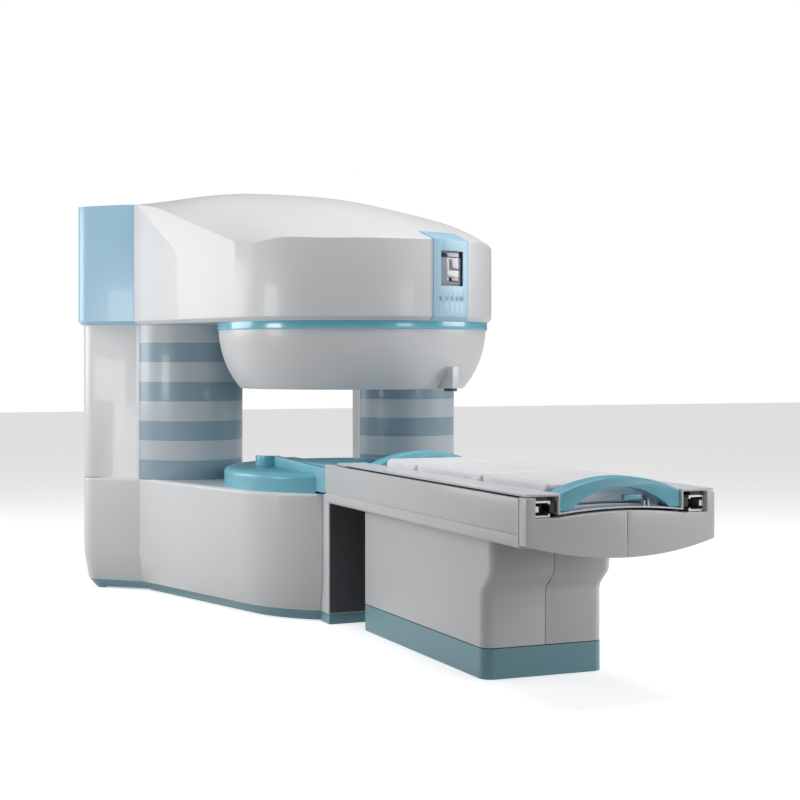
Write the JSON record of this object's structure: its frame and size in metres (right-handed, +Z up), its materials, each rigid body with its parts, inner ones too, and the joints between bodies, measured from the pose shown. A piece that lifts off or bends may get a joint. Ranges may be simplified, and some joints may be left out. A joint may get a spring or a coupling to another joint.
{
  "type": "open permanent-magnet mri scanner",
  "caption": "Open MRI scanner: C-shaped magnet with striped columns and domed cap over a round pole gap, with a docked patient table whose tray slides into the gap.",
  "frame": {"origin": "floor point below the isocentre, on the underside of the magnet's foot plate", "axes": "+X along the table to its foot end, +Y across the table, +Z up"},
  "size_m": [3.807, 2.1277, 2.09],
  "materials": {
    "white_cover": "satin moulded cover",
    "light_blue": "satin moulded cover",
    "teal": "satin moulded cover",
    "plinth_teal": "satin",
    "trim_cyan": "gloss",
    "column_stripes": "broad level stripes in two greys",
    "iron": "painted",
    "magnet": "coated",
    "coil_resin": "cast resin",
    "steel": "painted",
    "screen": "display face",
    "button": "satin",
    "black": "matte",
    "rail": "anodised",
    "tray_white": "satin",
    "pad": "vinyl",
    "belt": "matte",
    "pulley": "machined",
    "motor": "painted"
  },
  "bodies": {
    "scanner": {"foot_plate": "steel", "lower_yoke": "iron", "upper_yoke": "iron", "yoke_posts": "iron", "yoke_bolts": "steel", "lower_magnet_block": "magnet", "lower_pole_plate": "iron", "upper_pole_plate": "iron", "upper_magnet_block": "magnet", "lower_coil_set": "coil_resin", "upper_coil_set": "coil_resin", "base_front_cover": "white_cover", "base_back_cover": "white_cover", "left_column_cover": "column_stripes", "right_column_cover": "column_stripes", "left_side_cover": "white_cover", "right_side_cover": "white_cover", "base_plinth": "plinth_teal", "lower_pole_cover": "teal", "upper_pole_cover": "white_cover", "pole_trim_ring": "trim_cyan", "cap_back_panel": "white_cover", "cap_left_panel": "light_blue", "cap_right_panel": "light_blue", "cap_cover": "white_cover", "cover_frame": "steel", "display_panel": "light_blue", "display_screen": "screen", "locator_housing": "white_cover", "locator_lens": "black", "docking_cover": "white_cover", "bridge_trough": "teal", "pedestal_left_cover": "white_cover", "pedestal_right_cover": "white_cover", "table_plinth": "plinth_teal", "pedestal_frame": "steel", "table_beam": "steel", "left_side_panel": "white_cover", "right_side_panel": "white_cover", "table_rails": "rail", "left_end_cover": "white_cover", "right_end_cover": "white_cover", "drive_motor": "motor", "drive_belt": "belt"},
    "tray": {"tray": "tray_white", "foot_handle": "teal", "head_handle": "teal", "head_pad": "pad", "back_pad": "pad", "leg_pad": "pad", "tray_glides": "black"},
    "release_lever": {"lever_rod": "black", "lever_grip": "teal"},
    "drive_pulley": {"drive_pulley": "pulley"},
    "idler_pulley": {"idler_pulley": "pulley"},
    "display_button_1": {"display_button_1": "button"},
    "display_button_2": {"display_button_2": "button"},
    "display_button_3": {"display_button_3": "button"},
    "display_button_4": {"display_button_4": "button"},
    "display_button_5": {"display_button_5": "button"}
  },
  "joints": [
    {"name": "tray_slide", "type": "slide", "parent": "scanner", "child": "tray", "axis": [-1, 0, 0], "range_m": [0, 1.2]},
    {"name": "lever_pull", "type": "hinge", "parent": "tray", "child": "release_lever", "pos_m": [2.626, 0.11, 0.716], "axis": [0, 1, 0], "range_deg": [0, 35], "stiffness_Nm_per_rad": 0.6, "springref_deg": -11.46},
    {"name": "drive_pulley_turn", "type": "hinge", "parent": "scanner", "child": "drive_pulley", "pos_m": [2.45, 0, 0.625], "axis": [0, 1, 0], "range_deg": [-1960, 1960]},
    {"name": "idler_pulley_turn", "type": "hinge", "parent": "scanner", "child": "idler_pulley", "pos_m": [0.76, 0, 0.625], "axis": [0, 1, 0], "range_deg": [-1960, 1960]},
    {"name": "press_1", "type": "slide", "parent": "scanner", "child": "display_button_1", "axis": [-0.9336, -0.3584, 0], "range_m": [0, 0.002], "stiffness_N_per_m": 400, "springref_m": -0.001},
    {"name": "press_2", "type": "slide", "parent": "scanner", "child": "display_button_2", "axis": [-0.9336, -0.3584, 0], "range_m": [0, 0.002], "stiffness_N_per_m": 400, "springref_m": -0.001},
    {"name": "press_3", "type": "slide", "parent": "scanner", "child": "display_button_3", "axis": [-0.9336, -0.3584, 0], "range_m": [0, 0.002], "stiffness_N_per_m": 400, "springref_m": -0.001},
    {"name": "press_4", "type": "slide", "parent": "scanner", "child": "display_button_4", "axis": [-0.9336, -0.3584, 0], "range_m": [0, 0.002], "stiffness_N_per_m": 400, "springref_m": -0.001},
    {"name": "press_5", "type": "slide", "parent": "scanner", "child": "display_button_5", "axis": [-0.9336, -0.3584, 0], "range_m": [0, 0.002], "stiffness_N_per_m": 400, "springref_m": -0.001}
  ],
  "couplings": [
    {"joint": "drive_pulley_turn", "follows": "tray_slide", "rad_per_m": -26.385},
    {"joint": "idler_pulley_turn", "follows": "tray_slide", "rad_per_m": -26.385}
  ]
}
